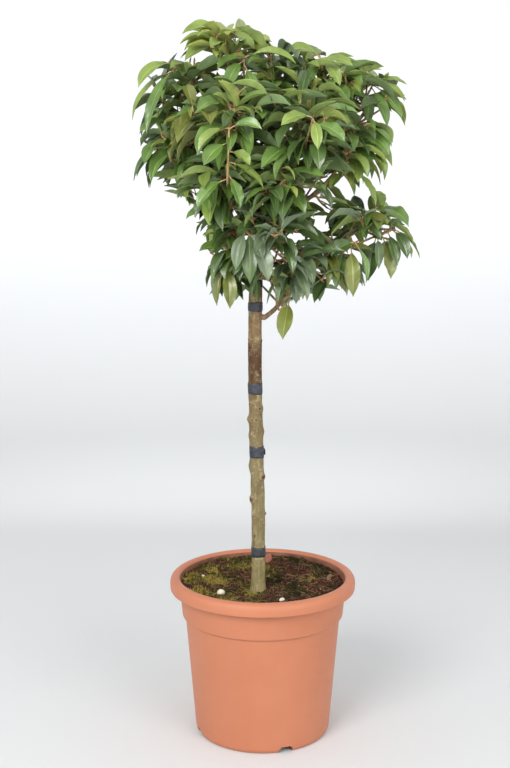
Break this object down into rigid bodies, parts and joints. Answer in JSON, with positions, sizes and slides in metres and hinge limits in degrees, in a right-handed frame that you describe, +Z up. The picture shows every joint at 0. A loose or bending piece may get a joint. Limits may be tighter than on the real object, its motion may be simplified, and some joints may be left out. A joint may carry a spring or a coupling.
{
  "type": "standard laurel tree in a pot",
  "caption": "Clear-stemmed laurel standard with a loose round leafy head, in a round terracotta-coloured plastic pot with a rolled rim, filled with mossy soil.",
  "frame": {"origin": "centre of the pot's flat underside, where it stands on the floor", "axes": "+Z up along the stem; +Y points away from the side seen first, +X to its right"},
  "size_m": [0.4022, 0.3417, 1.0181],
  "materials": {
    "pot_plastic": "satin",
    "soil": "matte",
    "bark": "matte",
    "bough_bark": "matte",
    "tie_tape": "satin",
    "foliage": "satin"
  },
  "bodies": {
    "root": {"bough_back_left": "bough_bark", "bough_back_right": "bough_bark", "bough_front_left": "bough_bark", "bough_front_low": "bough_bark", "bough_front_right": "bough_bark", "bough_front_side": "bough_bark", "bough_left_high": "bough_bark", "bough_left_low": "bough_bark", "bough_low_back": "bough_bark", "bough_low_front": "bough_bark", "bough_low_left": "bough_bark", "bough_low_middle": "bough_bark", "bough_low_right": "bough_bark", "bough_right_high": "bough_bark", "bough_right_middle": "bough_bark", "bough_top_back": "bough_bark", "bough_top_left": "bough_bark", "bough_top_middle": "bough_bark", "bough_top_right": "bough_bark", "foliage_back_left": "foliage", "foliage_back_right": "foliage", "foliage_front_left": "foliage", "foliage_front_low": "foliage", "foliage_front_right": "foliage", "foliage_front_side": "foliage", "foliage_left_high": "foliage", "foliage_left_low": "foliage", "foliage_low_back": "foliage", "foliage_low_front": "foliage", "foliage_low_left": "foliage", "foliage_low_middle": "foliage", "foliage_low_right": "foliage", "foliage_right_high": "foliage", "foliage_right_middle": "foliage", "foliage_top_back": "foliage", "foliage_top_left": "foliage", "foliage_top_middle": "foliage", "foliage_top_right": "foliage", "pot": "pot_plastic", "soil": "soil", "tie_band_1": "tie_tape", "tie_band_2": "tie_tape", "tie_band_3": "tie_tape", "tie_band_4": "tie_tape", "tie_band_5": "tie_tape", "trunk": "bark"}
  },
  "joints": []
}
